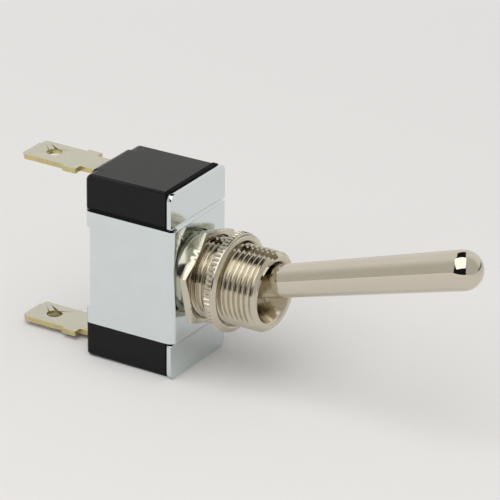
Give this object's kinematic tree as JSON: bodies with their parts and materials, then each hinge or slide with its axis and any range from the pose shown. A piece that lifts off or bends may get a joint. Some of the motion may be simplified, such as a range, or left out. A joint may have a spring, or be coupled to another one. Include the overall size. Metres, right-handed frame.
{
  "type": "toggle switch",
  "caption": "Panel-mount toggle switch with a long bat lever, a threaded bushing, a hexagon nut and a knurled nut, a folded steel bracket round a moulded base, and quick-connect blades.",
  "frame": {"origin": "on the bushing's axis, in the plane of the bracket's front face, where the bushing leaves the bracket", "axes": "-Y along the bushing, out of the panel; +Z along the switch's long side, towards the end that the lever points to at rest; +X across the switch"},
  "size_m": [0.0158, 0.0805, 0.0311],
  "materials": {
    "base_black": "satin moulded phenolic",
    "insulator_black": "satin fibre sheet",
    "zinc_plate": "bright zinc plate",
    "nickel_plate": "nickel plate, bright",
    "lever_nickel": "polished nickel plate",
    "tinned_brass": "satin plated brass",
    "rivet_brass": "satin brass",
    "copper": "satin copper",
    "silver": "satin silver",
    "pin_steel": "bright drawn steel",
    "plunger_nylon": "natural nylon"
  },
  "bodies": {
    "switch_body": {"base_housing": "base_black", "insulator_plate": "insulator_black", "bracket": "zinc_plate", "bushing": "nickel_plate", "pivot_pin": "pin_steel", "stirrup": "copper", "common_terminal": "tinned_brass", "load_terminal": "tinned_brass", "common_rivet": "rivet_brass", "load_rivet": "rivet_brass", "fixed_contact": "silver"},
    "lever": {"toggle_lever": "lever_nickel", "plunger_spring": "pin_steel"},
    "plunger": {"plunger": "plunger_nylon"},
    "rocker": {"rocker": "copper", "moving_contact": "silver", "rocker_pin": "pin_steel"},
    "hex_nut": {"hex_nut": "nickel_plate"},
    "knurled_nut": {"knurled_nut": "nickel_plate"}
  },
  "joints": [
    {"name": "lever_pivot", "type": "hinge", "parent": "switch_body", "child": "lever", "pos_m": [0, -0.0072, 0], "axis": [1, 0, 0], "range_deg": [0, 34]},
    {"name": "rocker_pivot", "type": "hinge", "parent": "switch_body", "child": "rocker", "pos_m": [0, 0.0082, 0], "axis": [1, 0, 0], "range_deg": [-16, 0]},
    {"name": "plunger_slide", "type": "slide", "parent": "lever", "child": "plunger", "axis": [0, -0.9563, 0.2924], "range_m": [0, 0.0008], "stiffness_N_per_m": 800, "springref_m": -0.001, "deforming": ["plunger_spring"]},
    {"name": "hex_nut_travel", "type": "slide", "parent": "switch_body", "child": "hex_nut", "axis": [0, -1, 0], "range_m": [-0.0013, 0.0013]},
    {"name": "knurled_nut_travel", "type": "slide", "parent": "switch_body", "child": "knurled_nut", "axis": [0, -1, 0], "range_m": [-0.0013, 0.0055]}
  ],
  "couplings": [
    {"joint": "rocker_pivot", "follows": "lever_pivot", "ratio": -0.47}
  ]
}
